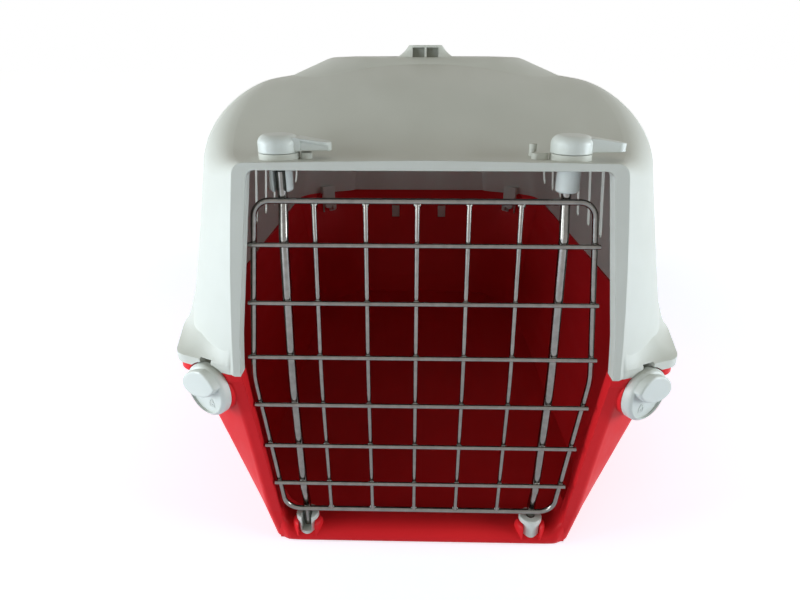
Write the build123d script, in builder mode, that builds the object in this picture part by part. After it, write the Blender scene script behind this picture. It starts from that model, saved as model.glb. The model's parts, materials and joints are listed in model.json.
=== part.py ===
from build123d import *
import os

# A two-piece moulded pet carrier with a wire door, in millimetres.
# The origin is under the middle of the case, +Z is up and the door faces -Y.

# Overall case
case_length = 570.0
parting_height = 157.0
wall = 3.0
floor_thickness = 3.2

# Tub plan, from the base past a knee in the walls to the rim
knee_height = 28.0
base_front_half = 110.0
knee_front_half = 116.0
rim_front_half = 125.0
base_front = 262.0
knee_front = 264.0
rim_front = 283.0
base_cheek_half = 117.0
knee_cheek_half = 124.0
rim_cheek_half = 160.0
base_cheek = 249.0
knee_cheek = 251.0
rim_cheek = 262.0
base_side_half = 141.0
knee_side_half = 147.0
rim_side_half = 172.0
base_shoulder = 170.0
rim_shoulder = 215.0
base_rear_half = 92.0
knee_rear_half = 96.0
rim_rear_half = 118.0
base_rear = 246.0
knee_rear = 250.0
rear_corner_run = 55.0
front_corner_radius = 6.0
cheek_radius = 16.0
shoulder_radius_plan = 60.0
rear_corner_radius = 50.0

# Rims at the parting line
tub_rim_overhang = 4.0
tub_rim_height = 6.0
flange_overhang = 6.0
flange_height = 6.0

# Concave flare over the flange: rise, then how far it stands out at front, cheek, side and rear
flare_levels = (
    (0.0, 0.0, 6.0, 6.0, 6.0),
    (5.0, -1.0, -4.0, 3.0, 0.0),
    (12.0, -2.5, -11.0, 1.2, -4.0),
    (24.0, -6.0, -22.0, -2.0, -9.0),
)

# Hood of the upper shell
lip_height = 289.0
lip_half = 103.5
lip_foot_half = 122.0
lip_lean = 10.0
lip_crown = 1.0
hood_half = 174.0
shoulder_half = 160.0
shoulder_height = 321.0
crown_height = 345.0
lip_corner_radius = 5.0
shoulder_radius = 50.0
front_wall_run = 105.0
front_hood_run = 165.0
latch_ledge_run = 30.0
rear_wall_run = 60.0
rear_hood_run = 135.0
rear_end_half = 100.0
rear_shoulder_half = 88.0
rear_shoulder_height = 262.0
rear_crown_height = 268.0
rear_corner_height_radius = 30.0
hood_rear = 272.0
front_shares = (0.0, 0.14, 0.27, 0.42, 0.64, 1.0)
middle_shares = (0.25, 0.5, 0.75)
rear_shares = (1.0, 0.6, 0.36, 0.18, 0.0)
lip_bulge = 3
front_bulge = 2.4
roof_bulge = 2

# Raised roof panel and the finger well under the handle
panel_half = 78.0
panel_foot_half = 134.0
panel_half_length = 118.0
panel_foot_half_length = 160.0
panel_top = 343.5
panel_foot_height = 318.0
panel_corner_radius = 46.0
panel_edge_radius = 24.0
well_length = 92.0
well_width = 70.0
well_depth = 24.0
well_draft = 12.0
well_corner_radius = 14.0
leg_hole_depth = 24.0
foot_drop = 12.0

# Doorway
doorway_half_sill = 105.0
doorway_half_parting = 117.5
doorway_half_jamb = 115.8
jamb_height = 183.0
doorway_half_top = 103.6
doorway_top = 285.5
sill_height = 9.0
doorway_bottom_radius = 12.0
doorway_top_radius = 5.0
jamb_depth = 10.0
doorway_reach = 50.0

# Side vents
vent_count = 8
vent_pitch = 41.0
vent_width = 9.0
vent_bottom = 186.0
vent_top = 272.0
vent_first = -112.0

# Wire door
rod_diameter = 6.0
frame_wire = 3.8
grid_wire = 3.0
weld_sink = 0.2
rod_spacing = 170.5
rod_shift_x = -2.5
pivot_y = -257.0
door_top = 265.0
door_bend = 150.0
door_bottom = 29.5
door_bow = 10.0
grid_pitch = 31.0
first_vertical = 19.5
vertical_count = 5
row_drops = (26.0, 63.1, 99.8, 136.3, 171.7, 206.9)
row_overhang = 2.6
frame_top_half = 102.0
frame_bend_half = 110.5
frame_bottom_half = 100.0
frame_top_radius = 10.0
frame_bend_radius = 60.0
frame_bottom_radius = 12.0
rod_top = 282.5
rod_bottom = 11.0
rod_jog = 18.0
rod_jog_radius = 12.0
rod_bend_radius = 220.0
rod_chamfer = 0.75

# Top latches
latch_boss_diameter = 24.0
latch_seat = 293.0
latch_gap = 0.3
latch_dome_diameter = 24.0
latch_dome_height = 10.0
latch_shaft_diameter = 8.0
lever_length = 31.0
lever_root_width = 15.0
lever_tip_width = 10.0
lever_height = 7.5
lever_tip_height = 4.5
lever_skin = 1.8
sleeve_outer = 14.0
sleeve_bore = 7.2
sleeve_bottom = 270.0
sleeve_cap_bottom = 283.5
sleeve_cap_top = 286.0
stop_left_offset = 16.0
stop_left_diameter = 6.8
stop_right_offset = 18.0
stop_right_length = 9.5
stop_right_width = 6.0
stop_rear_offset = 20.5
stop_rear_step = 9.0
stop_rear_diameter = 4.5
stop_rear_rise = 4.0

# Bottom sockets
socket_boss_diameter = 23.0
socket_boss_top = 18.0
socket_slot = 12.0
socket_top = 22.0
socket_collar = 17.0
socket_round = 1.2
socket_bore = 6.8
socket_bore_floor = 10.0
socket_clearance = 0.3

# Corner clamps
clamp_height = 142.0
clamp_pad_proud = 2.5
clamp_pad_depth = 9.0
clamp_diameter = 37.0
clamp_gap = 0.3
clamp_body_height = 7.0
clamp_dome_height = 3.5
clamp_grip_height = 4.0
clamp_grip_half_length = 17.0
clamp_grip_half_width = 9.5
clamp_shaft_diameter = 9.0
clamp_relief = 0.8
tongue_width = 21.0
tongue_shift = 4.0
tongue_thickness = 3.0
tongue_drop = 27.0
tongue_rise = 10.0
tongue_sink = 6.0
cam_width = 9.0
cam_length = 26.0
cam_thickness = 4.0
catch_height = 5.0
catch_width = 5.4
clamp_slot_length = 9.0
clamp_slot_width = 3.4
clamp_slot_depth = 5.0
clamp_grip_rise = 7.0
clamp_grip_tilt = -19.0
clamp_grip_round = 1.5
clamp_rim_width = 2.6
clamp_dish_depth = 1.8
cam_hub_wall = 1.5

# Rear hooks of the shell in the tub's rear wall
hook_spacing = 70.0
hook_width = 16.0
hook_window_width = 11.0
hook_window_height = 17.0
hook_window_centre = 124.0
hook_bottom = 110.0
hook_thickness = 3.0

# Carrying handle
handle_span = 150.0
handle_width = 22.0
handle_round = 3.0
handle_top = 352.0
handle_lift = 12.0
leg_width = 13.0
leg_thickness = 5.0
leg_clearance = 0.5
foot_length = 12.0
foot_thickness = 3.0
hump_length = 34.0
hump_width = 26.0
hump_flare = 17.0
hump_waist_rise = 3.0
hump_waist_flare = 5.0
hump_corner_radius = 6.0
hump_pocket_width = 20.0
hump_pocket_height = 7.0
hump_pocket_depth = 7.0
hump_rib = 1.6

running_gap = 0.3
front_y = -case_length / 2
rear_y = case_length / 2
rim_rear = rear_y - flange_overhang
node_parts = []


def keep(part, name):
    """Label a finished piece and list it for export."""
    part.label = name
    node_parts.append(part)


def tub_level(height, base, knee, rim):
    """A tub size at a height, straight from base to knee and from knee to rim."""
    if height < knee_height:
        return base + (knee - base) * height / knee_height
    return knee + (rim - knee) * (height - knee_height) / (parting_height - knee_height)


def cheek_ends(height):
    """Both ends of the slanted front corner face on the right, in plan."""
    front_half = tub_level(height, base_front_half, knee_front_half, rim_front_half)
    front = -tub_level(height, base_front, knee_front, rim_front)
    cheek_half = tub_level(height, base_cheek_half, knee_cheek_half, rim_cheek_half)
    cheek = -tub_level(height, base_cheek, knee_cheek, rim_cheek)
    return Vector(front_half, front), Vector(cheek_half, cheek)


def rear_corner_ends(height):
    """Both ends of the slanted rear corner face on the right, in plan."""
    side_half = tub_level(height, base_side_half, knee_side_half, rim_side_half)
    rear_half = tub_level(height, base_rear_half, knee_rear_half, rim_rear_half)
    rear = tub_level(height, base_rear, knee_rear, rim_rear)
    return Vector(side_half, rear - rear_corner_run), Vector(rear_half, rear)


def plan_face(height, front=0.0, cheek=0.0, side=0.0, rear=0.0):
    """Plan of the case at a height, each stretch of its outline moved out by its own amount."""
    place = height
    height = min(height, parting_height)
    front_corner, cheek_point = cheek_ends(height)
    rear_side, rear_corner = rear_corner_ends(height)
    shoulder = -tub_level(height, base_shoulder, base_shoulder, rim_shoulder)
    right = [
        (front_corner.X + front, front_corner.Y),
        (cheek_point.X + cheek, cheek_point.Y - cheek / 2),
        (rear_side.X + side, shoulder),
        (rear_side.X + side, rear_side.Y + rear / 2),
        (rear_corner.X + rear / 2, rear_corner.Y + rear),
    ]
    left = [(-x, y) for x, y in reversed(right)]
    corner = [
        front_corner_radius,
        cheek_radius,
        shoulder_radius_plan,
        rear_corner_radius,
        rear_corner_radius,
    ]
    with BuildSketch(Plane.XY.offset(place)) as plan:
        with BuildLine():
            FilletPolyline(*right, *left, radius=corner + corner[::-1], close=True)
        make_face()
    return plan.sketch


def tub_front(height):
    """Y of the tub's front face at a height."""
    return -tub_level(height, base_front, knee_front, rim_front)


def tub_rear(height):
    """Y of the tub's leaning rear face at a height."""
    return tub_level(height, base_rear, knee_rear, rim_rear)


def ease_out(share, power):
    """Fast at first, then level."""
    return 1 - (1 - share) ** power


def ease(share):
    """Level at both ends, steep between."""
    return share * share * (3 - 2 * share)


def mix(start, end, share):
    """A value between two sizes."""
    return start + (end - start) * share


def hood_section(y, foot_half, top_half, top_height, radius, crown, inset):
    """Cross-section of the hood at one station, moved in by the inset."""
    right = [
        (foot_half - inset, parting_height - inset),
        (top_half - inset, top_height - inset),
    ]
    left = [(-x, z) for x, z in reversed(right)]
    crown_radius = 3 * top_half
    foot_radius = 1.0
    corner = max(radius - inset, 2.0)
    with BuildSketch(Plane.XZ.offset(-y)) as section:
        with BuildLine():
            FilletPolyline(
                right[0],
                right[1],
                (0, crown - inset),
                left[0],
                left[1],
                radius=[foot_radius, corner, crown_radius, corner, foot_radius],
                close=True,
            )
        make_face()
    return section.sketch


def hood_stations(inset):
    """All cross-sections of the hood, from the lip over the roof to the rear."""
    stations = []
    for share in front_shares:
        run = share * front_hood_run
        wall_share = min(run / front_wall_run, 1.0)
        rise = max(run - latch_ledge_run, 0.0) / (front_hood_run - latch_ledge_run)
        station = hood_section(
            front_y + run,
            mix(lip_foot_half, hood_half, ease_out(wall_share, lip_bulge)),
            mix(lip_half, shoulder_half, ease_out(share, front_bulge)),
            mix(lip_height, shoulder_height, ease(rise)),
            mix(lip_corner_radius, shoulder_radius, share),
            mix(lip_height + lip_crown, crown_height, ease(rise)),
            inset,
        )
        stations.append(station)
    middle_start = front_y + front_hood_run
    middle_end = hood_rear - inset - rear_hood_run
    for share in middle_shares:
        station = hood_section(
            mix(middle_start, middle_end, share),
            hood_half,
            shoulder_half,
            shoulder_height,
            shoulder_radius,
            crown_height,
            inset,
        )
        stations.append(station)
    for share in rear_shares:
        run = share * rear_hood_run
        wall_share = min(run / rear_wall_run, 1.0)
        station = hood_section(
            hood_rear - inset - run,
            mix(rear_end_half, hood_half, ease_out(wall_share, roof_bulge)),
            mix(rear_shoulder_half, shoulder_half, ease_out(share, roof_bulge)),
            mix(rear_shoulder_height, shoulder_height, ease_out(share, roof_bulge)),
            mix(rear_corner_height_radius, shoulder_radius, share),
            mix(rear_crown_height, crown_height, ease_out(share, roof_bulge)),
            inset,
        )
        stations.append(station)
    return stations


def shell_front(height):
    """Y of the leaning front face of the shell at a height."""
    return front_y + lip_lean * (height - parting_height) / (lip_height - parting_height)


def slab_before(points):
    """Everything in front of a line given by its points in Y and Z."""
    reach = front_y - doorway_reach
    with BuildSketch(Plane.YZ) as side:
        with BuildLine():
            Polyline((reach, points[0][1]), *points, (reach, points[-1][1]), close=True)
        make_face()
    return extrude(side.sketch, amount=case_length, both=True)


def doorway():
    """Cutter for the door opening through the front of tub and shell."""
    right = [
        (doorway_half_sill, sill_height),
        (doorway_half_parting, parting_height),
        (doorway_half_jamb, jamb_height),
        (doorway_half_top, doorway_top),
    ]
    left = [(-x, z) for x, z in reversed(right)]
    corner = [doorway_bottom_radius, frame_bend_radius, frame_bend_radius, doorway_top_radius]
    with BuildSketch(Plane.XZ.offset(-front_y + jamb_depth)) as outline:
        with BuildLine():
            FilletPolyline(*right, *left, radius=corner + corner[::-1], close=True)
        make_face()
    return extrude(outline.sketch, amount=-doorway_reach)


def corner_plane(ends):
    """Plane of a clamp pad on a slanted corner face, its x level and its z outward."""
    along = (ends[1] - ends[0]).normalized()
    outward = Vector(along.Y, -along.X)
    middle = (ends[0] + ends[1]) * 0.5 + outward * clamp_pad_proud
    return Plane(
        origin=(middle.X, middle.Y, clamp_height),
        x_dir=(along.X, along.Y, 0),
        z_dir=(outward.X, outward.Y, 0),
    )


front_clamp = corner_plane(cheek_ends(clamp_height))
rear_clamp = corner_plane(rear_corner_ends(clamp_height))
clamp_planes = (front_clamp, rear_clamp)
tongue_front = -clamp_pad_depth - running_gap
tongue_back = tongue_front - tongue_thickness
cam_front = tongue_back - running_gap
shaft_hole = clamp_shaft_diameter + 3 * running_gap
left_rod_x = rod_shift_x - rod_spacing / 2
right_rod_x = rod_shift_x + rod_spacing / 2
rod_places = [(left_rod_x, pivot_y), (right_rod_x, pivot_y)]


# Tub: tapered body, rim, thick door posts, socket cheeks and clamp pads
tub_heights = (0.0, knee_height, parting_height)
with BuildPart() as tub_body:
    loft(sections=[plan_face(height) for height in tub_heights], ruled=True)
    fillet(tub_body.faces().sort_by(Axis.Z)[0].edges(), radius=wall)

with BuildPart() as tub_cavity:
    cavity_heights = (floor_thickness, knee_height, parting_height + 1)
    inner_plans = [offset(plan_face(height), amount=-wall) for height in cavity_heights]
    loft(sections=inner_plans, ruled=True)
    post_line = [
        (tub_front(0) + jamb_depth, -1),
        (tub_front(knee_height) + jamb_depth, knee_height),
        (tub_front(parting_height) + jamb_depth, parting_height + 2),
    ]
    add(slab_before(post_line), mode=Mode.SUBTRACT)

with BuildPart() as socket_bosses:
    with Locations(*[(x, y, 0) for x, y in rod_places]):
        Cylinder(
            socket_boss_diameter / 2,
            socket_boss_top,
            align=(Align.CENTER, Align.CENTER, Align.MIN),
        )
    add(tub_body.part, mode=Mode.INTERSECT)

with BuildPart() as lower_tub:
    add(tub_body.part)
    rim_plan = plan_face(parting_height, 0, tub_rim_overhang, tub_rim_overhang, tub_rim_overhang)
    extrude(rim_plan, amount=-tub_rim_height)
    for plane in clamp_planes:
        with BuildSketch(plane):
            Circle(clamp_diameter / 2)
        extrude(amount=-clamp_pad_depth)
        with BuildSketch(plane):
            Circle(clamp_diameter / 2 + clamp_relief)
        extrude(amount=clamp_diameter, mode=Mode.SUBTRACT)
    add(tub_cavity.part, mode=Mode.SUBTRACT)
    for plane in clamp_planes:
        with BuildSketch(plane.offset(-clamp_pad_depth)):
            Circle(clamp_diameter / 2 - wall)
        extrude(amount=clamp_pad_depth)
        with BuildSketch(plane):
            Circle(shaft_hole / 2)
        extrude(amount=-2 * clamp_pad_depth, both=True, mode=Mode.SUBTRACT)
    split(bisect_by=Plane.YZ, keep=Keep.TOP)
    mirror(about=Plane.YZ)
    split(bisect_by=Plane.XY.offset(parting_height), keep=Keep.BOTTOM)
    add(socket_bosses.part)
    add(doorway(), mode=Mode.SUBTRACT)
    with BuildSketch(Plane.XY.offset(floor_thickness)):
        with Locations(*rod_places):
            Rectangle(socket_slot, 2 * socket_boss_diameter)
    extrude(amount=socket_boss_top, mode=Mode.SUBTRACT)
    with BuildSketch(Plane.XZ.offset(-rim_rear - flange_overhang)):
        with Locations((-hook_spacing / 2, hook_window_centre), (hook_spacing / 2, hook_window_centre)):
            Rectangle(hook_window_width + 2 * running_gap, hook_window_height + 2 * running_gap)
    extrude(amount=2 * jamb_depth, mode=Mode.SUBTRACT)
    with BuildSketch(Plane.XY.offset(parting_height)):
        notch_y = tub_rear(parting_height - tub_rim_height)
        with Locations((-hook_spacing / 2, notch_y), (hook_spacing / 2, notch_y)):
            Rectangle(
                hook_width + 2 * running_gap,
                2 * flange_overhang,
                align=(Align.CENTER, Align.MIN),
            )
    extrude(amount=-2 * tub_rim_height, mode=Mode.SUBTRACT)
keep(lower_tub.part, "lower_tub")


def rear_hook_profile():
    """Side profile of a rear hook, along the outside of the tub's rear wall."""
    near = running_gap
    far = running_gap + hook_thickness
    top = parting_height + flange_height
    with BuildSketch(Plane.YZ) as profile:
        with BuildLine():
            Polyline(
                (tub_rear(parting_height) + near, top),
                (tub_rear(parting_height) + far, top),
                (tub_rear(parting_height) + far, parting_height),
                (tub_rear(hook_bottom) + far, hook_bottom),
                (tub_rear(hook_bottom) + near, hook_bottom),
                (tub_rear(parting_height) + near, parting_height),
                close=True,
            )
        make_face()
    return profile.sketch


def roof_panel(inset):
    """Raised panel on the roof, a low pyramid with round corners."""
    faces = []
    heights = (panel_foot_height, panel_top - inset)
    halves = ((panel_foot_half, panel_foot_half_length), (panel_half, panel_half_length))
    for height, (half, half_length) in zip(heights, halves):
        with BuildSketch(Plane.XY.offset(height)) as level:
            RectangleRounded(2 * (half - inset), 2 * (half_length - inset), panel_corner_radius)
        faces.append(level.sketch)
    return faces


def finger_well(margin):
    """Dished well under the handle, from its floor to above the roof."""
    faces = []
    floor = panel_top - well_depth - margin
    heights = (floor, panel_top + wall)
    for height, draft in zip(heights, (well_draft, 0.0)):
        with BuildSketch(Plane.XY.offset(height)) as level:
            RectangleRounded(
                well_width - 2 * draft + 2 * margin,
                well_length - 2 * draft + 2 * margin,
                well_corner_radius + margin - draft / 2,
            )
        faces.append(level.sketch)
    return faces


def handle_hump():
    """Flared foot that holds one end of the handle."""
    faces = []
    top = handle_top + running_gap
    levels = (
        (panel_top - wall, hump_flare),
        (panel_top + hump_waist_rise, hump_waist_flare),
        (top, 0.0),
    )
    for height, flare in levels:
        with BuildSketch(Plane.XY.offset(height)) as level:
            RectangleRounded(
                hump_width + 2 * flare,
                hump_length + flare,
                hump_corner_radius + flare / 2,
            )
        faces.append(level.sketch)
    return faces


# Upper shell: smooth hood, flared flange, roof panel, humps, vents and latch seats
hump_centre = handle_span / 2 + hump_length / 2 + running_gap
leg_place = handle_span / 2 - leg_thickness / 2
flange_top = parting_height + flange_height

with BuildPart() as hood_body:
    loft(sections=hood_stations(0.0))

with BuildPart() as panel_body:
    loft(sections=roof_panel(0.0))
    fillet(panel_body.faces().sort_by(Axis.Z)[-1].edges(), radius=panel_edge_radius)

with BuildPart() as well_pan:
    loft(sections=finger_well(wall), ruled=True)

with BuildPart() as hood_cavity:
    loft(sections=hood_stations(wall))
    post_line = [
        (shell_front(0) + jamb_depth, 0),
        (shell_front(panel_top) + jamb_depth, panel_top),
    ]
    add(slab_before(post_line), mode=Mode.SUBTRACT)
    add(well_pan.part, mode=Mode.SUBTRACT)

with BuildPart() as flange_flare:
    extrude(plan_face(parting_height, *flare_levels[0][1:]), amount=flange_height)
    loft(sections=[plan_face(flange_top + level[0], *level[1:]) for level in flare_levels])

with BuildPart() as shell_humps:
    loft(sections=handle_hump())
    pocket_face = Plane.XZ.offset(hump_length / 2 + hump_flare)
    with BuildSketch(pocket_face):
        with Locations((0, handle_top - wall / 2)):
            Rectangle(hump_pocket_width, hump_pocket_height, align=(Align.CENTER, Align.MAX))
        Rectangle(hump_rib, 3 * handle_top, mode=Mode.SUBTRACT)
    extrude(amount=-(hump_flare + hump_pocket_depth), mode=Mode.SUBTRACT)

with BuildPart() as upper_shell:
    add(hood_body.part)
    add(flange_flare.part)
    add(panel_body.part)
    for plane in clamp_planes:
        with BuildSketch(plane):
            Circle(clamp_diameter / 2 + clamp_relief)
        extrude(amount=clamp_diameter, mode=Mode.SUBTRACT)
        with BuildSketch(plane.offset(-clamp_slot_depth)):
            with Locations((0, clamp_diameter / 2)):
                Rectangle(
                    clamp_slot_length,
                    2 * clamp_slot_width,
                    align=(Align.CENTER, Align.CENTER),
                )
        extrude(amount=clamp_diameter, mode=Mode.SUBTRACT)
    add(hood_cavity.part, mode=Mode.SUBTRACT)
    for plane in clamp_planes:
        seat = parting_height - clamp_height
        with BuildSketch(plane.offset(tongue_back)):
            with Locations((tongue_shift, seat + tongue_rise)):
                Rectangle(
                    tongue_width,
                    tongue_rise + tongue_drop,
                    align=(Align.CENTER, Align.MAX),
                )
            Rectangle(
                shaft_hole + 2 * running_gap,
                tongue_drop,
                align=(Align.CENTER, Align.MAX),
                mode=Mode.SUBTRACT,
            )
            Circle(shaft_hole / 2 + running_gap, mode=Mode.SUBTRACT)
        extrude(amount=tongue_thickness)
        with BuildSketch(plane.offset(tongue_back)):
            with Locations((tongue_shift, seat)):
                Rectangle(tongue_width, tongue_rise, align=(Align.CENTER, Align.MIN))
        extrude(amount=-tongue_back - tongue_sink)
        with BuildSketch(plane.offset(tongue_back)):
            with Locations((cam_length / 2, -cam_width / 2 - running_gap)):
                Rectangle(catch_width, catch_height, align=(Align.MAX, Align.MAX))
        extrude(amount=-cam_thickness - running_gap)
    split(bisect_by=Plane.YZ, keep=Keep.TOP)
    mirror(about=Plane.YZ)
    add(slab_before([(shell_front(0), 0), (shell_front(panel_top), panel_top)]), mode=Mode.SUBTRACT)
    with Locations((0, -hump_centre, 0)):
        add(shell_humps.part)
    with Locations(Location((0, hump_centre, 0), (0, 0, 180))):
        add(shell_humps.part)
    with Locations(*[(x, y, latch_seat) for x, y in rod_places]):
        Cylinder(
            latch_boss_diameter / 2,
            latch_seat - lip_height + wall,
            align=(Align.CENTER, Align.CENTER, Align.MAX),
        )
    stop_height = latch_seat - lip_height + wall
    with BuildSketch(Plane.XY.offset(latch_seat)):
        with Locations((left_rod_x + stop_left_offset, pivot_y)):
            Circle(stop_left_diameter / 2)
        with Locations((right_rod_x - stop_right_offset, pivot_y)):
            SlotOverall(stop_right_length, stop_right_width)
    extrude(amount=-stop_height)
    with Locations((right_rod_x - stop_rear_offset, pivot_y + stop_rear_step, latch_seat + stop_rear_rise)):
        Cylinder(
            stop_rear_diameter / 2,
            stop_height + stop_rear_rise,
            align=(Align.CENTER, Align.CENTER, Align.MAX),
        )
    with Locations(*[(x, y, latch_seat) for x, y in rod_places]):
        Cylinder(latch_shaft_diameter / 2 + running_gap, 4 * latch_boss_diameter, mode=Mode.SUBTRACT)
    add(doorway(), mode=Mode.SUBTRACT)
    loft(sections=finger_well(0.0), ruled=True, mode=Mode.SUBTRACT)
    with BuildSketch(Plane.XY.offset(panel_top)):
        Rectangle(handle_width + 2 * leg_clearance, handle_span + 2 * leg_clearance)
    extrude(amount=panel_top, mode=Mode.SUBTRACT)
    with BuildSketch(Plane.XY.offset(panel_top + wall)):
        with Locations((0, -leg_place), (0, leg_place)):
            Rectangle(leg_width + 2 * leg_clearance, leg_thickness + 2 * leg_clearance)
    extrude(amount=-leg_hole_depth, mode=Mode.SUBTRACT)
    for hook_x in (-hook_spacing / 2, hook_spacing / 2):
        with Locations((hook_x, 0, 0)):
            add(extrude(rear_hook_profile(), amount=hook_width / 2, both=True, mode=Mode.PRIVATE))
        window_y = tub_rear(hook_window_centre)
        with Locations((hook_x, window_y + hook_thickness, hook_window_centre)):
            Box(
                hook_window_width,
                hook_thickness + wall,
                hook_window_height,
                align=(Align.CENTER, Align.MAX, Align.CENTER),
            )
    vent_height = vent_top - vent_bottom
    with BuildSketch(Plane.YZ):
        for number in range(vent_count):
            with Locations((vent_first + number * vent_pitch, (vent_top + vent_bottom) / 2)):
                SlotOverall(vent_height, vent_width, rotation=90)
    extrude(amount=case_length, both=True, mode=Mode.SUBTRACT)
keep(upper_shell.part, "upper_shell")


# Wire door: a closed frame wire, upright wires, cross wires in front and two pivot rods
frame_radius = frame_wire / 2
grid_radius = grid_wire / 2
rod_radius = rod_diameter / 2
frame_end_y = pivot_y - rod_radius - frame_radius + weld_sink
jog_margin = rod_radius


def door_share(height):
    """Zero at the top and bottom wires, one at the bend of the door."""
    if height > door_bend:
        return (door_top - height) / (door_top - door_bend)
    return (height - door_bottom) / (door_bend - door_bottom)


def frame_y(height):
    """Y of the frame wire's centre at a height, bowed forward at the bend."""
    return frame_end_y - door_bow * door_share(height)


def frame_half(height):
    """Half-width of the frame wire at a height."""
    end = frame_top_half if height > door_bend else frame_bottom_half
    return mix(end, frame_bend_half, door_share(height))


with BuildPart() as door_frame:
    for side in (-1, 1):
        with BuildLine() as half_path:
            FilletPolyline(
                (rod_shift_x, frame_y(door_top), door_top),
                (rod_shift_x + side * frame_top_half, frame_y(door_top), door_top),
                (rod_shift_x + side * frame_bend_half, frame_y(door_bend), door_bend),
                (rod_shift_x + side * frame_bottom_half, frame_y(door_bottom), door_bottom),
                (rod_shift_x, frame_y(door_bottom), door_bottom),
                radius=[frame_top_radius, frame_bend_radius, frame_bottom_radius],
            )
        with BuildSketch(Plane(origin=half_path.line @ 0, z_dir=half_path.line % 0)):
            Circle(frame_radius)
        sweep(path=half_path.line)
keep(door_frame.part, "door_frame_wire")

with BuildPart() as door_uprights:
    upright_shift = frame_radius - grid_radius
    upright_top = door_top - frame_radius + weld_sink
    upright_bottom = door_bottom + frame_radius - weld_sink
    for number in range(vertical_count):
        upright_x = left_rod_x + first_vertical + number * grid_pitch
        with BuildLine() as upright_path:
            FilletPolyline(
                (upright_x, frame_y(upright_top) - upright_shift, upright_top),
                (upright_x, frame_y(door_bend) - upright_shift, door_bend),
                (upright_x, frame_y(upright_bottom) - upright_shift, upright_bottom),
                radius=rod_bend_radius,
            )
        with BuildSketch(Plane(origin=upright_path.line @ 0, z_dir=upright_path.line % 0)):
            Circle(grid_radius)
        sweep(path=upright_path.line)
keep(door_uprights.part, "door_upright_wires")

with BuildPart() as door_rows:
    for drop in row_drops:
        row_height = door_top - drop
        row_reach = frame_half(row_height) + row_overhang
        row_y = frame_y(row_height) - frame_radius - grid_radius + weld_sink
        with BuildSketch(Plane(origin=(rod_shift_x, row_y, row_height), z_dir=(1, 0, 0))):
            Circle(grid_radius)
        extrude(amount=row_reach, both=True)
keep(door_rows.part, "door_cross_wires")

for side, rod_x in (("left", left_rod_x), ("right", right_rod_x)):
    with BuildPart() as door_rod:
        rod_shift = rod_radius - frame_radius
        jog_top = door_top - jog_margin
        jog_bottom = door_bottom + jog_margin
        with BuildLine() as rod_path:
            FilletPolyline(
                (rod_x, pivot_y, rod_top),
                (rod_x, pivot_y, jog_top),
                (rod_x, frame_y(jog_top - rod_jog) + rod_shift, jog_top - rod_jog),
                (rod_x, frame_y(door_bend) + rod_shift, door_bend),
                (rod_x, frame_y(jog_bottom + rod_jog) + rod_shift, jog_bottom + rod_jog),
                (rod_x, pivot_y, jog_bottom),
                (rod_x, pivot_y, rod_bottom),
                radius=[
                    rod_jog_radius,
                    rod_jog_radius,
                    rod_bend_radius,
                    rod_jog_radius,
                    rod_jog_radius,
                ],
            )
        with BuildSketch(Plane(origin=rod_path.line @ 0, z_dir=rod_path.line % 0)):
            Circle(rod_radius)
        sweep(path=rod_path.line)
        chamfer(door_rod.faces().filter_by(GeomType.PLANE).edges(), length=rod_chamfer)
    keep(door_rod.part, "door_rod_" + side)


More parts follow.
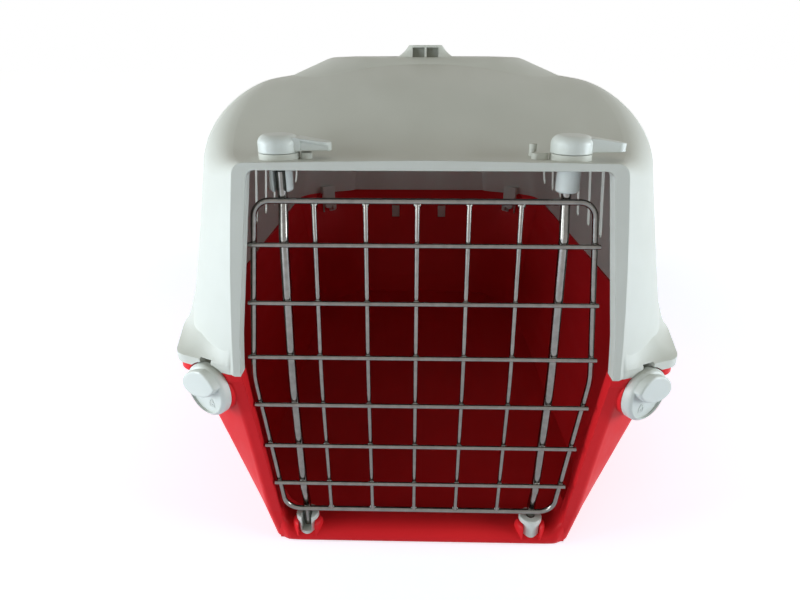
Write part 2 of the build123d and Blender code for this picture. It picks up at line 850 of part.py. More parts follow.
# Top latches: a domed knob with a hollow lever above the roof, a slotted sleeve below it
knob_floor = latch_seat + latch_gap
lever_floor = knob_floor + latch_gap * 3
for side, latch_x, closed in (("left", left_rod_x, 1), ("right", right_rod_x, -1)):
    with BuildPart() as latch_knob:
        with Locations((latch_x, pivot_y, knob_floor)):
            Cylinder(
                latch_dome_diameter / 2,
                latch_dome_height,
                align=(Align.CENTER, Align.CENTER, Align.MIN),
            )
        fillet(latch_knob.edges().sort_by(Axis.Z)[-1], radius=latch_dome_height / 2)
        tip_centre = lever_length - lever_tip_width / 2
        with BuildSketch(Plane((latch_x, pivot_y, lever_floor))):
            with BuildLine():
                Polyline(
                    (0, -lever_root_width / 2),
                    (tip_centre, -lever_tip_width / 2),
                    (tip_centre, lever_tip_width / 2),
                    (0, lever_root_width / 2),
                    close=True,
                )
            make_face()
            with Locations((tip_centre, 0)):
                Circle(lever_tip_width / 2)
        extrude(amount=lever_height)
        root = latch_dome_diameter / 2
        side_plane = Plane((latch_x, pivot_y, lever_floor), x_dir=(1, 0, 0), z_dir=(0, -1, 0))
        with BuildSketch(side_plane):
            with BuildLine():
                Polyline(
                    (root, lever_height),
                    (lever_length, lever_tip_height),
                    (lever_length, 2 * lever_height),
                    (root, 2 * lever_height),
                    close=True,
                )
            make_face()
        extrude(amount=lever_root_width, both=True, mode=Mode.SUBTRACT)
        hollow_wall = closed * (lever_tip_width / 2 - lever_skin)
        hollow_plane = Plane(
            (latch_x, pivot_y + hollow_wall, lever_floor),
            x_dir=(1, 0, 0),
            z_dir=(0, -1, 0),
        )
        with BuildSketch(hollow_plane):
            with BuildLine():
                Polyline(
                    (root + lever_skin, 0),
                    (lever_length - lever_skin, 0),
                    (lever_length - lever_skin, lever_tip_height - lever_skin),
                    (root + lever_skin, lever_height - lever_skin),
                    close=True,
                )
            make_face()
        extrude(amount=closed * 2 * lever_root_width, mode=Mode.SUBTRACT)
        with Locations((latch_x, pivot_y, sleeve_cap_top)):
            Cylinder(
                latch_shaft_diameter / 2,
                knob_floor - sleeve_cap_top + lever_skin,
                align=(Align.CENTER, Align.CENTER, Align.MIN),
            )
    keep(latch_knob.part, "latch_knob_" + side)

    with BuildPart() as latch_sleeve:
        with Locations((latch_x, pivot_y, sleeve_bottom)):
            Cylinder(
                sleeve_outer / 2,
                sleeve_cap_top - sleeve_bottom,
                align=(Align.CENTER, Align.CENTER, Align.MIN),
            )
        fillet(latch_sleeve.edges().sort_by(Axis.Z)[0], radius=lever_skin)
        with BuildSketch(Plane.XY.offset(sleeve_bottom)):
            with Locations((latch_x, pivot_y)):
                Circle(sleeve_bore / 2)
            with Locations((latch_x, pivot_y - closed * sleeve_outer / 2)):
                Rectangle(sleeve_bore + 2 * running_gap, sleeve_outer)
        extrude(amount=sleeve_cap_bottom - sleeve_bottom, mode=Mode.SUBTRACT)
    keep(latch_sleeve.part, "latch_sleeve_" + side)


# Bottom sockets: the left one open to the front, the right one closed by a tongue
insert_half_depth = socket_collar / 2
for side, socket_x in (("left", left_rod_x), ("right", right_rod_x)):
    with BuildPart() as socket:
        with BuildSketch(Plane.XY.offset(floor_thickness)):
            with Locations((socket_x, pivot_y)):
                Rectangle(socket_slot - 2 * socket_clearance, 2 * insert_half_depth)
                Circle(insert_half_depth, mode=Mode.INTERSECT)
        extrude(amount=socket_boss_top - floor_thickness + socket_clearance)
        with BuildSketch(Plane.XY.offset(socket_boss_top + socket_clearance)):
            with Locations((socket_x, pivot_y)):
                Circle(socket_collar / 2)
        extrude(amount=socket_top - socket_boss_top - socket_clearance)
        fillet(socket.edges().sort_by(Axis.Z)[-1], radius=socket_round)
        with BuildSketch(Plane.XY.offset(socket_bore_floor)):
            with Locations((socket_x, pivot_y)):
                Circle(socket_bore / 2)
            if side == "left":
                with Locations((socket_x, pivot_y)):
                    Rectangle(
                        socket_bore + 2 * running_gap,
                        socket_collar,
                        align=(Align.CENTER, Align.MAX),
                    )
        extrude(amount=socket_top, mode=Mode.SUBTRACT)
    keep(socket.part, "socket_" + side)


# Corner clamps: a quarter-turn knob outside and a one-armed cam behind the shell's tongue
for end, plane in (("front", front_clamp), ("rear", rear_clamp)):
    with BuildPart() as clamp_knob:
        with BuildSketch(plane.offset(clamp_gap)):
            Circle(clamp_diameter / 2)
        extrude(amount=clamp_body_height)
        outer_face = clamp_knob.faces().sort_by(Axis(plane.origin, plane.z_dir))[-1]
        fillet(outer_face.edges(), radius=clamp_dome_height)
        with BuildSketch(plane.offset(clamp_gap + clamp_body_height)):
            Circle(clamp_diameter / 2 - clamp_rim_width)
        extrude(amount=-clamp_dish_depth, mode=Mode.SUBTRACT)
        with BuildSketch(plane.offset(clamp_gap + clamp_body_height / 2)):
            with Locations((0, clamp_grip_rise)):
                Ellipse(clamp_grip_half_length, clamp_grip_half_width, rotation=clamp_grip_tilt)
            Circle(clamp_diameter / 2 - clamp_relief, mode=Mode.INTERSECT)
        extrude(amount=clamp_body_height / 2 + clamp_grip_height)
        grip_top = clamp_knob.faces().sort_by(Axis(plane.origin, plane.z_dir))[-1]
        fillet(grip_top.edges(), radius=clamp_grip_round)
        with BuildSketch(plane.offset(cam_front)):
            Circle(clamp_shaft_diameter / 2)
        extrude(amount=-cam_front + clamp_gap + 1)
    keep(clamp_knob.part, "clamp_knob_" + end + "_right")
    keep(mirror(clamp_knob.part, about=Plane.YZ), "clamp_knob_" + end + "_left")

    with BuildPart() as clamp_cam:
        with BuildSketch(plane.offset(cam_front)):
            Circle(shaft_hole / 2 + cam_hub_wall)
            Rectangle(cam_length / 2, cam_width, align=(Align.MIN, Align.CENTER))
        extrude(amount=-cam_thickness)
    keep(clamp_cam.part, "clamp_cam_" + end + "_right")
    keep(mirror(clamp_cam.part, about=Plane.YZ), "clamp_cam_" + end + "_left")


# Carrying handle: a bar between the humps on two legs with feet under the roof
handle_floor = panel_top + running_gap
with BuildPart() as carry_handle:
    with BuildSketch(Plane.XY.offset(handle_floor)):
        RectangleRounded(handle_width, handle_span, handle_width / 4)
    extrude(amount=handle_top - handle_floor)
    fillet(carry_handle.faces().sort_by(Axis.Z)[-1].edges(), radius=handle_round)
    foot_top = panel_top - foot_drop - handle_lift
    with BuildSketch(Plane.XY.offset(foot_top)):
        with Locations((0, -leg_place), (0, leg_place)):
            Rectangle(leg_width, leg_thickness)
    extrude(amount=handle_floor - foot_top + 1)
    with BuildSketch(Plane.XY.offset(foot_top)):
        with Locations((0, -leg_place), (0, leg_place)):
            Rectangle(leg_width + 2 * foot_thickness, foot_length)
    extrude(amount=-foot_thickness)
keep(carry_handle.part, "carry_handle")


os.makedirs("parts", exist_ok=True)
for part in node_parts:
    export_step(part, "parts/" + part.label + ".step")
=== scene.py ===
# %% [markdown]
# # A moulded pet carrier with a wire door
#
# The carrier is a red tub and a pale grey hood, clamped together at the corners.
# A welded wire door hangs on two rods at the front.
# All of the shapes that matter for size and motion were made in CAD.
# This lesson loads them as a fixed frame, in metres, and gives them the finishes of
# the real plastic and wire, the small welds and marks, and a plain studio.

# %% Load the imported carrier
import bpy
import bmesh
import json
import math
import random
from mathutils import Matrix, Vector


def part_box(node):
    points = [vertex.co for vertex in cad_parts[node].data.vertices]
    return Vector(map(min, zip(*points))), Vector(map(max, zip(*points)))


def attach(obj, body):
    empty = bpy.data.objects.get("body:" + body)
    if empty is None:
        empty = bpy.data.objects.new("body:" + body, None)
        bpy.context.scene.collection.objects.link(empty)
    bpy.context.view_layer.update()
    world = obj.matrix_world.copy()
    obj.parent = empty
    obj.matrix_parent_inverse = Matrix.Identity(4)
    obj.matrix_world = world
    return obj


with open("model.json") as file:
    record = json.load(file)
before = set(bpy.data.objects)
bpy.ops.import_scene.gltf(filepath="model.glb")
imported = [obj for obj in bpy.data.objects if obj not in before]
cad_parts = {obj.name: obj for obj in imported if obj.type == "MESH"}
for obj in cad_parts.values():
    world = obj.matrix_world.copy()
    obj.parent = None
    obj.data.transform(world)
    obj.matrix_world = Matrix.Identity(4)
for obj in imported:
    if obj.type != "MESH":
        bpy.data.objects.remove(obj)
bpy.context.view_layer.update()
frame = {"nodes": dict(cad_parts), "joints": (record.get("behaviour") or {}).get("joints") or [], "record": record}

# %% [markdown]
# ## The camera
#
# The photograph was taken close in front of the door, a little above the roof and
# looking down. The place was worked out from the door grid: its rows and columns
# shrink with distance, and that gives the height, the tilt and the lens.
# A wide lens that stands close makes the front look large, as it does there.

# %% Place the camera
image_width = 800
focal_in_pixels = 580
sensor = 36.0
nearest_seen = 0.01
camera_place = (-0.009, -0.603, 0.346)
camera_tilt = math.radians(67.0)
camera_turn = math.radians(1.28)

scene = bpy.context.scene
camera = bpy.data.objects.new("camera", bpy.data.cameras.new("camera"))
scene.collection.objects.link(camera)
camera.data.sensor_width = sensor
camera.data.lens = sensor * focal_in_pixels / image_width
camera.data.clip_start = nearest_seen
camera.location = camera_place
camera.rotation_euler = (camera_tilt, 0.0, camera_turn)
scene.camera = camera
print("lens:", round(camera.data.lens, 2), "mm")

# %% [markdown]
# ## A white studio
#
# The picture has a pure white ground. A lamp strong enough to make a floor white
# would also burn out the grey hood, so the white is given only to what the camera,
# a mirror or a clear piece sees directly. All other rays meet a dim warm sky, which
# gives the roof its tone.
# View transform Standard shows each colour about as it is written.

# %% The sky
sky_tint = (1.0, 0.91, 0.69, 1.0)
sky_strength = 0.20
white = (1.0, 1.0, 1.0, 1.0)

scene.view_settings.view_transform = "Standard"

sky = bpy.data.worlds.new("studio_sky")
scene.world = sky
sky.use_nodes = True
sky_nodes = sky.node_tree.nodes
sky_links = sky.node_tree.links
sky_nodes.clear()


def seen_directly(nodes, links):
    """One for rays that come from the camera, a mirror or a clear piece."""
    path = nodes.new("ShaderNodeLightPath")
    camera_or_mirror = nodes.new("ShaderNodeMath")
    camera_or_mirror.operation = "MAXIMUM"
    any_direct = nodes.new("ShaderNodeMath")
    any_direct.operation = "MAXIMUM"
    links.new(path.outputs["Is Camera Ray"], camera_or_mirror.inputs[0])
    links.new(path.outputs["Is Glossy Ray"], camera_or_mirror.inputs[1])
    links.new(camera_or_mirror.outputs[0], any_direct.inputs[0])
    links.new(path.outputs["Is Transmission Ray"], any_direct.inputs[1])
    return any_direct.outputs[0]


lit_sky = sky_nodes.new("ShaderNodeBackground")
lit_sky.inputs["Color"].default_value = sky_tint
lit_sky.inputs["Strength"].default_value = sky_strength
white_sky = sky_nodes.new("ShaderNodeBackground")
white_sky.inputs["Color"].default_value = white
white_sky.inputs["Strength"].default_value = 1.0
sky_mix = sky_nodes.new("ShaderNodeMixShader")
sky_out = sky_nodes.new("ShaderNodeOutputWorld")
sky_links.new(seen_directly(sky_nodes, sky_links), sky_mix.inputs["Fac"])
sky_links.new(lit_sky.outputs[0], sky_mix.inputs[1])
sky_links.new(white_sky.outputs[0], sky_mix.inputs[2])
sky_links.new(sky_mix.outputs[0], sky_out.inputs["Surface"])
print("sky strength:", sky_strength)

# %% [markdown]
# ## The floor
#
# The floor is one wide sheet. For the camera it glows and is also lit, so that open
# floor comes out white. Close to the carrier the lamps light the floor more, so it
# glows less there, and the soft shadow at the carrier's foot stays.

# %% The floor
floor_half = 12.0
floor_drop = 0.0004
floor_tint = (0.72, 0.78, 0.97, 1.0)
glow_near, glow_far = 0.62, 0.865
fade_start, fade_end = 0.30, 1.30

floor_mesh = bpy.data.meshes.new("studio_floor")
signs = ((-1, -1), (1, -1), (1, 1), (-1, 1))
corners = [(x * floor_half, y * floor_half, 0) for x, y in signs]
floor_mesh.from_pydata(corners, [], [(0, 1, 2, 3)])
floor = bpy.data.objects.new("studio_floor", floor_mesh)
scene.collection.objects.link(floor)
floor.location.z = -floor_drop

floor_paint = bpy.data.materials.new("studio_floor_paint")
floor_paint.use_nodes = True
floor_nodes = floor_paint.node_tree.nodes
floor_links = floor_paint.node_tree.links
floor_nodes.clear()
floor_lit = floor_nodes.new("ShaderNodeBsdfDiffuse")
floor_lit.inputs["Color"].default_value = floor_tint
floor_glow = floor_nodes.new("ShaderNodeEmission")
floor_glow.inputs["Color"].default_value = white
floor_place = floor_nodes.new("ShaderNodeTexCoord")
floor_distance = floor_nodes.new("ShaderNodeVectorMath")
floor_distance.operation = "LENGTH"
glow_by_distance = floor_nodes.new("ShaderNodeMapRange")
glow_by_distance.interpolation_type = "SMOOTHSTEP"
glow_by_distance.inputs["From Min"].default_value = fade_start
glow_by_distance.inputs["From Max"].default_value = fade_end
glow_by_distance.inputs["To Min"].default_value = glow_near
glow_by_distance.inputs["To Max"].default_value = glow_far
glow_strength = floor_nodes.new("ShaderNodeMath")
glow_strength.operation = "MULTIPLY"
floor_add = floor_nodes.new("ShaderNodeAddShader")
floor_out = floor_nodes.new("ShaderNodeOutputMaterial")
floor_links.new(floor_place.outputs["Object"], floor_distance.inputs[0])
floor_links.new(floor_distance.outputs["Value"], glow_by_distance.inputs["Value"])
floor_links.new(seen_directly(floor_nodes, floor_links), glow_strength.inputs[0])
floor_links.new(glow_by_distance.outputs["Result"], glow_strength.inputs[1])
floor_links.new(glow_strength.outputs[0], floor_glow.inputs["Strength"])
floor_links.new(floor_lit.outputs[0], floor_add.inputs[0])
floor_links.new(floor_glow.outputs[0], floor_add.inputs[1])
floor_links.new(floor_add.outputs[0], floor_out.inputs["Surface"])
floor_mesh.materials.append(floor_paint)
print("floor:", 2 * floor_half, "m wide")

# %% [markdown]
# ## Soft lamps
#
# In the photograph both sides of the hood are much brighter than its roof, so the
# light came from low softboxes at the left and the right, in front of the carrier.
# Large area lamps give that soft light. A third one, further in front, reaches in
# through the door, and a weak one from above fills the roof.

# %% The lamps


def softbox(name, place, aim, width, power, tint):
    """A large square area lamp at a place, turned to face a point."""
    lamp = bpy.data.lights.new(name, "AREA")
    lamp.shape = "SQUARE"
    lamp.size = width
    lamp.energy = power
    lamp.color = tint
    holder = bpy.data.objects.new(name, lamp)
    scene.collection.objects.link(holder)
    holder.location = place
    holder.rotation_euler = (Vector(aim) - Vector(place)).to_track_quat("-Z", "Y").to_euler()


middle = (0.0, -0.1, 0.16)
cool = (0.86, 0.95, 1.0)
warm = (1.0, 0.97, 0.92)
softbox("lamp_left", (-1.7, -0.50, 0.34), middle, 0.9, 28.5, cool)
softbox("lamp_right", (1.7, -0.50, 0.34), middle, 0.9, 29.0, cool)
softbox("lamp_front", (-1.15, -1.55, 0.34), middle, 0.9, 8.5, cool)
softbox("lamp_above", (0.0, 0.3, 2.0), middle, 1.2, 1.0, warm)

# %% [markdown]
# ## Colours as they are seen
#
# A colour given here is in screen values from 0 to 255. Blender mixes light in
# linear values, so each given colour is converted once, here.

# %% Colour helper


def seen(red, green, blue):
    """Linear colour for a colour written in screen values."""
    linear = []
    for value in (red, green, blue):
        share = value / 255
        linear.append(share / 12.92 if share <= 0.04045 else ((share + 0.055) / 1.055) ** 2.4)
    return (*linear, 1.0)


print("mid grey:", [round(v, 3) for v in seen(128, 128, 128)])

# %% [markdown]
# ## Building blocks of a finish
#
# Every finish here is a Principled shader with slow changes of tone over the surface
# and a fine grain that bends the light. The plastic finishes also get a slight rounding
# of sharp edges, which all moulded plastic has. The Bevel node rounds only the shading,
# and leaves the mesh of the CAD node as it is. Object coordinates are metres here,
# so a scale of 1000 means one wave per millimetre.

# %% Finish helpers


def new_finish(name):
    """A new material and its node tree, with a plain Principled shader in it."""
    finish = bpy.data.materials.new(name)
    finish.use_nodes = True
    return finish, finish.node_tree.nodes, finish.node_tree.links


def noise(nodes, links, scale, detail, stretch=(1.0, 1.0, 1.0)):
    """Noise in object metres, with its waves stretched along an axis."""
    place = nodes.new("ShaderNodeTexCoord")
    mapping = nodes.new("ShaderNodeMapping")
    mapping.inputs["Scale"].default_value = stretch
    texture = nodes.new("ShaderNodeTexNoise")
    texture.inputs["Scale"].default_value = scale
    texture.inputs["Detail"].default_value = detail
    links.new(place.outputs["Object"], mapping.inputs["Vector"])
    links.new(mapping.outputs["Vector"], texture.inputs["Vector"])
    return texture.outputs["Fac"]


def ramp(nodes, links, source, low, high, low_colour, high_colour):
    """A colour that goes from one to another as the source goes from low to high."""
    colours = nodes.new("ShaderNodeValToRGB")
    colours.color_ramp.elements[0].position = low
    colours.color_ramp.elements[0].color = low_colour
    colours.color_ramp.elements[1].position = high
    colours.color_ramp.elements[1].color = high_colour
    links.new(source, colours.inputs["Fac"])
    return colours.outputs["Color"]


def spread(nodes, links, source, low, high):
    """The source's middle values, spread over a range of numbers."""
    span = nodes.new("ShaderNodeMapRange")
    span.inputs["From Min"].default_value = 0.3
    span.inputs["From Max"].default_value = 0.7
    span.inputs["To Min"].default_value = low
    span.inputs["To Max"].default_value = high
    links.new(source, span.inputs["Value"])
    return span.outputs["Result"]


def grain(nodes, links, source, depth, strength, normal=None):
    """Bump of a depth in metres, on top of another normal."""
    bump = nodes.new("ShaderNodeBump")
    bump.inputs["Distance"].default_value = depth
    bump.inputs["Strength"].default_value = strength
    links.new(source, bump.inputs["Height"])
    if normal is not None:
        links.new(normal, bump.inputs["Normal"])
    return bump.outputs["Normal"]


def soft_edge(nodes, radius):
    """A normal that is rounded over sharp edges."""
    bevel = nodes.new("ShaderNodeBevel")
    bevel.samples = 6
    bevel.inputs["Radius"].default_value = radius
    return bevel.outputs["Normal"]


print("finish helpers ready")

# %% [markdown]
# ## Grey hood plastic
#
# The hood is pale polypropylene with a fine spark-eroded grain. It is matt on the
# roof, a little patchy in tone, and has long faint flow marks from moulding along
# its length. Three noises of very different size give the patches, the flow marks
# and the grain.

# %% Hood plastic


def grey_plastic(name, dark, light, roughness, grain_scale):
    """Grained grey plastic between two tones."""
    finish, nodes, links = new_finish(name)
    shader = nodes["Principled BSDF"]
    patches = noise(nodes, links, scale=9.0, detail=4.0)
    tone = ramp(nodes, links, patches, 0.32, 0.70, dark, light)
    links.new(tone, shader.inputs["Base Color"])
    flow = noise(nodes, links, scale=60.0, detail=3.0, stretch=(1.0, 0.12, 1.0))
    dullness = spread(nodes, links, flow, roughness - 0.05, roughness + 0.07)
    links.new(dullness, shader.inputs["Roughness"])
    fine = noise(nodes, links, scale=grain_scale, detail=2.0)
    rounded = soft_edge(nodes, radius=0.0007)
    waves = grain(nodes, links, flow, depth=0.0002, strength=0.10, normal=rounded)
    bumps = grain(nodes, links, fine, depth=0.0002, strength=0.35, normal=waves)
    links.new(bumps, shader.inputs["Normal"])
    shader.inputs["Specular IOR Level"].default_value = 0.45
    return finish


hood_dark, hood_light = seen(199, 201, 193), seen(208, 210, 202)
hood_plastic = grey_plastic("hood_plastic", hood_dark, hood_light, 0.50, 1300.0)
print("made:", hood_plastic.name)

# %% [markdown]
# ## Fittings plastic
#
# Latches, clamps, sockets and handle are moulded from the same grey, in small tools
# with a smoother face. They catch the light more and look a touch cooler.

# %% Fittings plastic
fittings_dark, fittings_light = seen(203, 208, 203), seen(216, 220, 214)
fittings_plastic = grey_plastic("fittings_plastic", fittings_dark, fittings_light, 0.36, 2200.0)
print("made:", fittings_plastic.name)

# %% [markdown]
# ## Red tub plastic
#
# The tub is glossy red. Its skin is slightly uneven, like orange peel, and use has
# scuffed it, so the gloss breaks up in thin streaks that run along the tub. Seen at a
# flat angle a strong gloss would turn the red sides pink, so the reflection is kept
# low and a little broad.

# %% Tub plastic
tub_plastic, tub_nodes, tub_links = new_finish("tub_plastic")
tub_shader = tub_nodes["Principled BSDF"]
tub_dark, tub_light = seen(213, 34, 41), seen(225, 40, 45)
tub_patches = noise(tub_nodes, tub_links, scale=7.0, detail=3.0)
tub_tone = ramp(tub_nodes, tub_links, tub_patches, 0.3, 0.7, tub_dark, tub_light)
tub_links.new(tub_tone, tub_shader.inputs["Base Color"])
scuffs = noise(tub_nodes, tub_links, scale=150.0, detail=5.0, stretch=(1.0, 0.06, 0.35))
tub_dullness = spread(tub_nodes, tub_links, scuffs, 0.36, 0.48)
tub_links.new(tub_dullness, tub_shader.inputs["Roughness"])
peel = noise(tub_nodes, tub_links, scale=420.0, detail=2.0)
tub_rounded = soft_edge(tub_nodes, radius=0.0008)
tub_scratched = grain(tub_nodes, tub_links, scuffs, 0.0001, 0.04, tub_rounded)
tub_normal = grain(tub_nodes, tub_links, peel, 0.0002, 0.10, tub_scratched)
tub_links.new(tub_normal, tub_shader.inputs["Normal"])
tub_shader.inputs["Specular IOR Level"].default_value = 0.1
print("made:", tub_plastic.name)

# %% [markdown]
# ## Zinc wire
#
# The door is drawn steel wire with bright zinc plating. Drawing leaves fine lines
# along the wire and plating leaves small cloudy spots, so the reflection is sharp in
# places and dull in others. Two noises set the roughness and the tone. The tone is
# darker than zinc looks in the hand, because here it mirrors a pure white room.

# %% Door wire


def zinc(name, dark, light):
    """Bright plated steel with cloudy spots."""
    finish, nodes, links = new_finish(name)
    shader = nodes["Principled BSDF"]
    clouds = noise(nodes, links, scale=260.0, detail=5.0)
    tone = ramp(nodes, links, clouds, 0.35, 0.68, dark, light)
    links.new(tone, shader.inputs["Base Color"])
    drawn = noise(nodes, links, scale=700.0, detail=3.0, stretch=(1.0, 1.0, 0.15))
    links.new(spread(nodes, links, drawn, 0.11, 0.19), shader.inputs["Roughness"])
    bumps = grain(nodes, links, clouds, depth=0.0001, strength=0.08)
    links.new(bumps, shader.inputs["Normal"])
    shader.inputs["Metallic"].default_value = 1.0
    return finish


door_wire = zinc("door_wire", seen(116, 114, 110), seen(130, 127, 122))
weld_metal = zinc("weld_metal", seen(92, 90, 86), seen(120, 117, 112))
print("made:", door_wire.name, "and", weld_metal.name)

# %% [markdown]
# ## Which piece gets which finish
#
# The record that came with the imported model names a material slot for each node, so
# the finishes are given out by that slot and none is forgotten.

# %% Give out the finishes
finish_of_slot = {
    "tub_red": tub_plastic,
    "shell_grey": hood_plastic,
    "fittings_grey": fittings_plastic,
    "door_wire": door_wire,
}
for subpart in frame["record"]["subparts"]:
    node = frame["nodes"][subpart["node"]]
    node.data.materials.clear()
    node.data.materials.append(finish_of_slot[subpart["material_slot"]])
    print(subpart["node"], "->", node.data.materials[0].name)

# %% [markdown]
# ## Finding the wires
#
# The welds sit where wires cross. The cross wires and the uprights are single CAD
# nodes with several wires each, so their meshes are split into islands, and the box
# of each island says where that wire runs. Measuring them here keeps the welds on
# the wires if the door changes.

# %% Measure each wire
same_point = 0.00001


def wire_boxes(node_name):
    """Lowest and highest corner of every separate wire in a CAD node."""
    mesh = bmesh.new()
    mesh.from_mesh(frame["nodes"][node_name].data)
    bmesh.ops.remove_doubles(mesh, verts=mesh.verts, dist=same_point)
    unseen = set(mesh.verts)
    boxes = []
    while unseen:
        start = unseen.pop()
        island = [start]
        waiting = [start]
        while waiting:
            for edge in waiting.pop().link_edges:
                for vert in edge.verts:
                    if vert in unseen:
                        unseen.discard(vert)
                        island.append(vert)
                        waiting.append(vert)
        low = Vector([min(v.co[axis] for v in island) for axis in range(3)])
        high = Vector([max(v.co[axis] for v in island) for axis in range(3)])
        boxes.append((low, high))
    mesh.free()
    return boxes


rows = sorted(wire_boxes("door_cross_wires"), key=lambda box: box[0].z)
uprights = sorted(wire_boxes("door_upright_wires"), key=lambda box: box[0].x)
print("cross wires:", len(rows), "uprights:", len(uprights))

# %% [markdown]
# ## Spot welds
#
# Each crossing of the door has a spot weld. The current melts a little metal, which
# sets as a small flat bead round the touching point. A squashed ball that is a bit
# wider than the wire, and a bit different each time, looks right at this size. All
# beads are one piece, which rides with the door.

# %% Place the welds
wire_radius = 0.0015
row_overhang = 0.0026
end_inset = 0.0006
bead_size = (0.0023, 0.0012, 0.0021)
bead_smallest, bead_largest = 0.88, 1.12
weld_draw = random.Random(7)


def weld_points():
    """Where wires touch: each cross wire on the uprights, the rods and the frame."""
    points = []
    rod_names = ("door_rod_left", "door_rod_right")
    rods = [(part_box(name)[0].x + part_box(name)[1].x) / 2 for name in rod_names]
    across = [(low.x + high.x) / 2 for low, high in uprights] + rods
    for low, high in rows:
        height = (low.z + high.z) / 2
        behind = high.y
        ends = [low.x + row_overhang, high.x - row_overhang]
        points += [(x, behind, height) for x in across + ends]
    for low, high in uprights:
        middle_x = (low.x + high.x) / 2
        points.append((middle_x, high.y - wire_radius, high.z - end_inset))
        points.append((middle_x, high.y - wire_radius, low.z + end_inset))
    return points


bead_mesh = bmesh.new()
for point in weld_points():
    size = [value * weld_draw.uniform(bead_smallest, bead_largest) for value in bead_size]
    placed = Matrix.Translation(point) @ Matrix.Diagonal((*size, 1.0))
    bmesh.ops.create_icosphere(bead_mesh, subdivisions=2, radius=1.0, matrix=placed)
for face in bead_mesh.faces:
    face.smooth = True
welds_mesh = bpy.data.meshes.new("door_welds")
bead_mesh.to_mesh(welds_mesh)
bead_mesh.free()
welds = bpy.data.objects.new("door_welds", welds_mesh)
scene.collection.objects.link(welds)
welds_mesh.materials.append(weld_metal)
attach(welds, "door")
print("welds:", len(weld_points()))

# %% [markdown]
# ## The rolled sill
#
# Under the door the tub's floor rolls forward over a soft lip, and its two corners
# sweep up into the door posts. It is drawn as one cross-section that is carried from
# post to post. Near the posts the section rises on a quarter circle and its lip draws
# back. At each socket it dips, so that the rod's foot can leave to the front.

# %% Build the sill
sill_half = 0.109
half_steps = 48
corner_start = 0.091
corner_radius = 0.0165
draw_start = 0.101
draw_length = 0.008
full_lift_height = 0.009
notch_half = 0.0066
notch_height = 0.0094
notch_back = -0.248
notch_edge = 0.0001
post_face = -0.2626
sill_section = [
    (-0.2380, 0.0026), (-0.2380, 0.0104), (-0.2430, 0.0116), (-0.2479, 0.0122),
    (-0.2482, 0.0122), (-0.2530, 0.0125), (-0.2575, 0.0122), (-0.2613, 0.0112),
    (-0.2640, 0.0095), (-0.2656, 0.0072), (-0.2663, 0.0046), (-0.2661, 0.0024),
    (-0.2650, 0.0009), (-0.2622, 0.0003),
]
latch_joints = [joint for joint in frame["joints"] if joint["name"].startswith("latch_")]
rod_feet = [joint["pos_m"][0] for joint in latch_joints]


def sill_points(x):
    """The sill's cross-section at one place across the door."""
    past_corner = max(abs(x) - corner_start, 0.0)
    lift = corner_radius - math.sqrt(max(corner_radius**2 - past_corner**2, 0.0))
    draw = min(max((abs(x) - draw_start) / draw_length, 0.0), 1.0)
    draw = draw * draw * (3 - 2 * draw)
    in_notch = any(abs(x - foot) < notch_half for foot in rod_feet)
    points = []
    for y, z in sill_section:
        height = z + lift * min(z / full_lift_height, 1.0)
        if in_notch and y < notch_back:
            height = min(height, notch_height)
        points.append((x, y + (max(y, post_face) - y) * draw, height))
    return points


def join_rings(made, rings):
    """Walls from each ring of points to the next, and a lid at both ends."""
    for ring, after in zip(rings, rings[1:]):
        for number in range(len(ring)):
            follow = (number + 1) % len(ring)
            made.faces.new((ring[number], ring[follow], after[follow], after[number]))
    made.faces.new(rings[0])
    made.faces.new(rings[-1])


def red_piece(name, made):
    """A piece of the tub made from a bmesh, smooth but for its sharp edges."""
    bmesh.ops.recalc_face_normals(made, faces=made.faces)
    mesh = bpy.data.meshes.new(name)
    made.to_mesh(mesh)
    made.free()
    mesh.polygons.foreach_set("use_smooth", [True] * len(mesh.polygons))
    mesh.set_sharp_from_angle(angle=math.radians(50))
    mesh.materials.append(tub_plastic)
    piece = bpy.data.objects.new(name, mesh)
    scene.collection.objects.link(piece)
    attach(piece, "case")
    return piece


stations = [-sill_half + step * sill_half / half_steps for step in range(2 * half_steps + 1)]
for foot in rod_feet:
    for edge in (foot - notch_half, foot + notch_half):
        stations += [edge - notch_edge, edge + notch_edge]
sill_bmesh = bmesh.new()
sill_rings = []
for x in sorted(stations):
    sill_rings.append([sill_bmesh.verts.new(point) for point in sill_points(x)])
join_rings(sill_bmesh, sill_rings)
sill = red_piece("rolled_sill", sill_bmesh)
print(sill.name, "faces:", len(sill.data.polygons))

# %% [markdown]
# ## Cheeks at the sockets
#
# Each grey socket is pressed between two round red cheeks that stand up from the sill.
# The CAD boss ends flat at the front, so these add its round front: an arc that steps
# in towards the top like a dome, with a straight side along the socket's slot.

# %% Build the cheeks
foot_y = -0.257
slot_half = 0.0061
cheek_levels = [
    (0.0060, 0.0116), (0.0135, 0.0116), (0.0160, 0.0111), (0.0174, 0.0101), (0.0181, 0.0086),
]
arc_steps = 8
cheeks_bmesh = bmesh.new()
for foot in rod_feet:
    for side in (-1, 1):
        levels = []
        for height, radius in cheek_levels:
            first = math.asin(slot_half / radius)
            ring = [(foot + side * slot_half, foot_y, height)]
            for step in range(arc_steps + 1):
                angle = first + (math.pi / 2 - first) * step / arc_steps
                x = foot + side * radius * math.sin(angle)
                ring.append((x, foot_y - radius * math.cos(angle), height))
            levels.append([cheeks_bmesh.verts.new(point) for point in ring])
        join_rings(cheeks_bmesh, levels)
cheeks = red_piece("socket_cheeks", cheeks_bmesh)
print(cheeks.name, "faces:", len(cheeks.data.polygons))

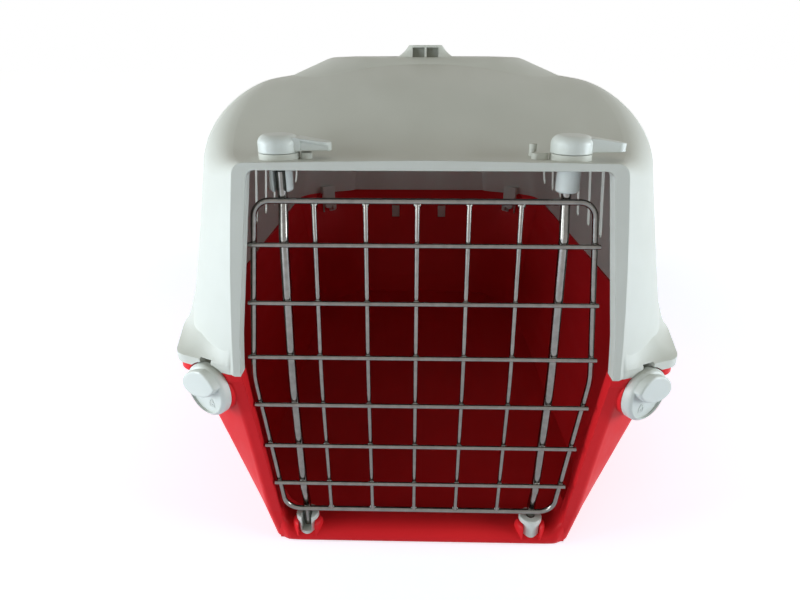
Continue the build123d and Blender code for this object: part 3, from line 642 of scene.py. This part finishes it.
# %% [markdown]
# ## Lock marks on the clamps
#
# Each clamp knob carries a tiny raised padlock, the usual sign for locked. It is part
# of the moulding, so it has the knob's finish and turns with it. It is drawn as a thin
# round line: a body, a shackle and a keyhole. The clamp's joint gives its axis, and a
# ray down onto the knob finds the floor of its dish.

# %% Draw the lock marks
mark_line = 0.00036
mark_place = (-0.0045, -0.0075)
lock_half = 0.0021
lock_height = 0.0034
shackle_radius = 0.0013
shackle_leg = 0.0009
shackle_steps = 8
ray_start = 0.05

mark_body = [
    (-lock_half, -lock_height), (lock_half, -lock_height), (lock_half, 0.0),
    (-lock_half, 0.0), (-lock_half, -lock_height),
]
mark_keyhole = [(0.0, -0.0024), (0.0, -0.0013)]
mark_shackle = [(-shackle_radius, 0.0)]
for step in range(shackle_steps + 1):
    angle = math.pi - step * math.pi / shackle_steps
    height = shackle_leg + shackle_radius * math.sin(angle)
    mark_shackle.append((shackle_radius * math.cos(angle), height))
mark_shackle.append((shackle_radius, 0.0))
bpy.context.view_layer.update()


def clamp_directions(joint):
    """Centre of a clamp and its outward, level and upward directions."""
    centre = Vector(joint["pos_m"])
    outward = Vector(joint["axis"])
    if outward.dot(Vector((centre.x, centre.y, 0.0))) < 0:
        outward = -outward
    upward = Vector((0.0, 0.0, 1.0))
    level = outward.cross(upward)
    if level.x * centre.x < 0:
        level = -level
    return centre, outward, level, upward


def thin_line_piece(name, lines, origin, across, upward):
    """One mesh of thin round lines drawn in a plane."""
    drawing = bpy.data.curves.new(name + "_drawing", "CURVE")
    drawing.dimensions = "3D"
    drawing.bevel_depth = mark_line
    drawing.bevel_resolution = 1
    for line in lines:
        spline = drawing.splines.new("POLY")
        spline.points.add(len(line) - 1)
        for point, (u, v) in zip(spline.points, line):
            point.co = (*(origin + across * u + upward * v), 1.0)
    holder = bpy.data.objects.new(name + "_drawing", drawing)
    mesh = bpy.data.meshes.new_from_object(holder)
    mesh.name = name
    bpy.data.objects.remove(holder)
    piece = bpy.data.objects.new(name, mesh)
    scene.collection.objects.link(piece)
    mesh.polygons.foreach_set("use_smooth", [True] * len(mesh.polygons))
    mesh.materials.clear()
    mesh.materials.append(fittings_plastic)
    return piece


for joint in frame["joints"]:
    if not joint["name"].startswith("clamp_"):
        continue
    body = joint["child"]
    knob = frame["nodes"][body.replace("clamp_", "clamp_knob_")]
    centre, outward, level, upward = clamp_directions(joint)
    above = centre + level * mark_place[0] + upward * mark_place[1] + outward * ray_start
    found, dish = knob.ray_cast(above, -outward)[:2]
    lines = [mark_body, mark_shackle, mark_keyhole]
    name = "lock_mark_" + body.removeprefix("clamp_")
    mark = thin_line_piece(name, lines, dish, level, upward)
    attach(mark, body)
    print(mark.name, "found the dish:", found)

# %% [markdown]
# ## Webs in the latch levers
#
# The latch levers are moulded hollow, with a thin upright web set just inside the open
# side, which keeps a thin lever stiff. Seen from the front the web makes the lever
# look full, with only a narrow recess round it. It tapers with the lever.

# %% Build the lever webs
lever_floor = 0.2942
root_half, tip_half = 0.0075, 0.0050
taper_length = 0.026
root_height, tip_height = 0.0075, 0.0045
slope_start, slope_length = 0.012, 0.019
lever_wall = 0.0016
web_near, web_far = 0.0124, 0.0294
web_inset = 0.0007
web_thickness = 0.0012
web_gap = 0.0003


def lever_half(reach):
    """Half-width of the lever at a distance from the latch's axis."""
    return root_half - (root_half - tip_half) * reach / taper_length


def lever_rise(reach):
    """Height of the hollow's ceiling above the lever's floor."""
    along = reach - slope_start
    return root_height - (root_height - tip_height) * along / slope_length - lever_wall


for side, facing in (("left", -1), ("right", 1)):
    joint = next(joint for joint in latch_joints if joint["name"] == "latch_" + side + "_turn")
    axis_x, axis_y = joint["pos_m"][:2]
    web_mesh = bmesh.new()
    rings = []
    for reach in (web_near, web_far):
        front = axis_y + facing * (lever_half(reach) - web_inset)
        back = front - facing * web_thickness
        top = lever_floor + lever_rise(reach)
        foot = lever_floor + web_gap
        ring = [(front, foot), (front, top), (back, top), (back, foot)]
        rings.append([web_mesh.verts.new((axis_x + reach, y, z)) for y, z in ring])
    join_rings(web_mesh, rings)
    bmesh.ops.recalc_face_normals(web_mesh, faces=web_mesh.faces)
    mesh = bpy.data.meshes.new("lever_web_" + side)
    web_mesh.to_mesh(mesh)
    web_mesh.free()
    mesh.materials.append(fittings_plastic)
    web = bpy.data.objects.new("lever_web_" + side, mesh)
    scene.collection.objects.link(web)
    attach(web, "latch_" + side)
    print(web.name, "sides:", len(mesh.polygons))
